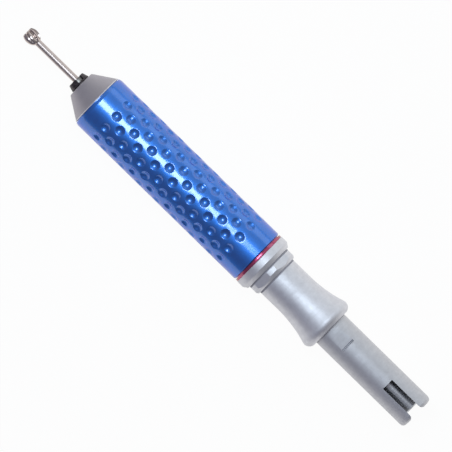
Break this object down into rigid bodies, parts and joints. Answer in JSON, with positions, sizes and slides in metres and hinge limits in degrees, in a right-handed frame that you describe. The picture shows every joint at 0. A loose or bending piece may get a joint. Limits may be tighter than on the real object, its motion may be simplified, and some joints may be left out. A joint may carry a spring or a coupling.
{
  "type": "dental handpiece",
  "caption": "Straight laboratory handpiece: dimpled grip, twist-open collet with a round bur, ball-bearing spindle and a slip-joint tail with a drive dog.",
  "frame": {"origin": "on the axis, at the seat where the slip-joint tail leaves the twist sleeve", "axes": "+X along the axis towards the tail's end, the bur points to -X; +Z is the side of the detent ramp and a key slot"},
  "size_m": [0.18, 0.0208, 0.0208],
  "materials": {
    "grip_blue": "blue anodised, bead blasted",
    "index_red": "crimson anodised",
    "nose_steel": "bead blasted",
    "satin_steel": "satin turned",
    "dark_steel": "blackened",
    "spindle_steel": "ground",
    "bearing_steel": "polished",
    "cage_brass": "stamped",
    "spring_steel": "drawn wire",
    "housing_aluminium": "turned",
    "seal_rubber": "moulded",
    "bur_steel": "polished"
  },
  "bodies": {
    "housing": {"grip_sleeve": "grip_blue", "index_ring": "index_red", "nose_cone": "nose_steel", "nose_seal": "seal_rubber", "spindle_housing": "housing_aluminium", "tail_plug": "satin_steel", "preload_washer": "spring_steel", "rear_collar": "satin_steel", "tail_tube": "satin_steel", "sleeve_o_ring": "seal_rubber", "tail_snap_ring": "spring_steel", "front_bearing_outer_ring": "bearing_steel", "rear_bearing_outer_ring": "bearing_steel", "tail_bearing_outer_ring": "bearing_steel"},
    "spindle": {"spindle": "spindle_steel", "nose_cap": "dark_steel", "front_bearing_nut": "dark_steel", "rear_bearing_nut": "dark_steel", "front_bearing_inner_ring": "bearing_steel", "rear_bearing_inner_ring": "bearing_steel", "tail_bearing_inner_ring": "bearing_steel", "drive_dog": "spindle_steel", "dog_pin": "bearing_steel", "collet_spring": "spring_steel"},
    "front_ball_set": {"front_bearing_balls": "bearing_steel", "front_bearing_cage": "cage_brass"},
    "rear_ball_set": {"rear_bearing_balls": "bearing_steel", "rear_bearing_cage": "cage_brass"},
    "tail_ball_set": {"tail_bearing_balls": "bearing_steel", "tail_bearing_cage": "cage_brass"},
    "twist_grip": {"twist_sleeve": "satin_steel", "twist_ring": "satin_steel", "twist_retaining_ring": "spring_steel"},
    "release": {"release_collar": "cage_brass", "cam_pins": "bearing_steel"},
    "chuck": {"collet": "spindle_steel", "drawbar": "spindle_steel", "spring_nut": "spindle_steel", "draw_ring": "spindle_steel", "draw_pin": "bearing_steel"},
    "bur": {"bur_head": "bur_steel", "bur_shank": "bur_steel"}
  },
  "joints": [
    {"name": "spindle_spin", "type": "hinge", "parent": "housing", "child": "spindle", "pos_m": [0, 0, 0], "axis": [1, 0, 0], "continuous": true},
    {"name": "front_balls_roll", "type": "hinge", "parent": "housing", "child": "front_ball_set", "pos_m": [0, 0, 0], "axis": [1, 0, 0], "continuous": true},
    {"name": "rear_balls_roll", "type": "hinge", "parent": "housing", "child": "rear_ball_set", "pos_m": [0, 0, 0], "axis": [1, 0, 0], "continuous": true},
    {"name": "tail_balls_roll", "type": "hinge", "parent": "housing", "child": "tail_ball_set", "pos_m": [0, 0, 0], "axis": [1, 0, 0], "continuous": true},
    {"name": "chuck_twist", "type": "hinge", "parent": "housing", "child": "twist_grip", "pos_m": [0, 0, 0], "axis": [1, 0, 0], "range_deg": [0, 60]},
    {"name": "release_slide", "type": "slide", "parent": "housing", "child": "release", "axis": [-1, 0, 0], "range_m": [0, 0.0012]},
    {"name": "collet_draw", "type": "slide", "parent": "spindle", "child": "chuck", "axis": [-1, 0, 0], "range_m": [0, 0.0012], "deforming": ["collet_spring"]},
    {"name": "bur_pull", "type": "slide", "parent": "chuck", "child": "bur", "axis": [-1, 0, 0], "range_m": [0, 0.03]}
  ],
  "couplings": [
    {"joint": "front_balls_roll", "follows": "spindle_spin", "ratio": 0.40476},
    {"joint": "rear_balls_roll", "follows": "spindle_spin", "ratio": 0.40476},
    {"joint": "tail_balls_roll", "follows": "spindle_spin", "ratio": 0.425},
    {"joint": "release_slide", "follows": "chuck_twist", "m_per_rad": 0.0011459},
    {"joint": "collet_draw", "follows": "chuck_twist", "m_per_rad": 0.0011459}
  ]
}
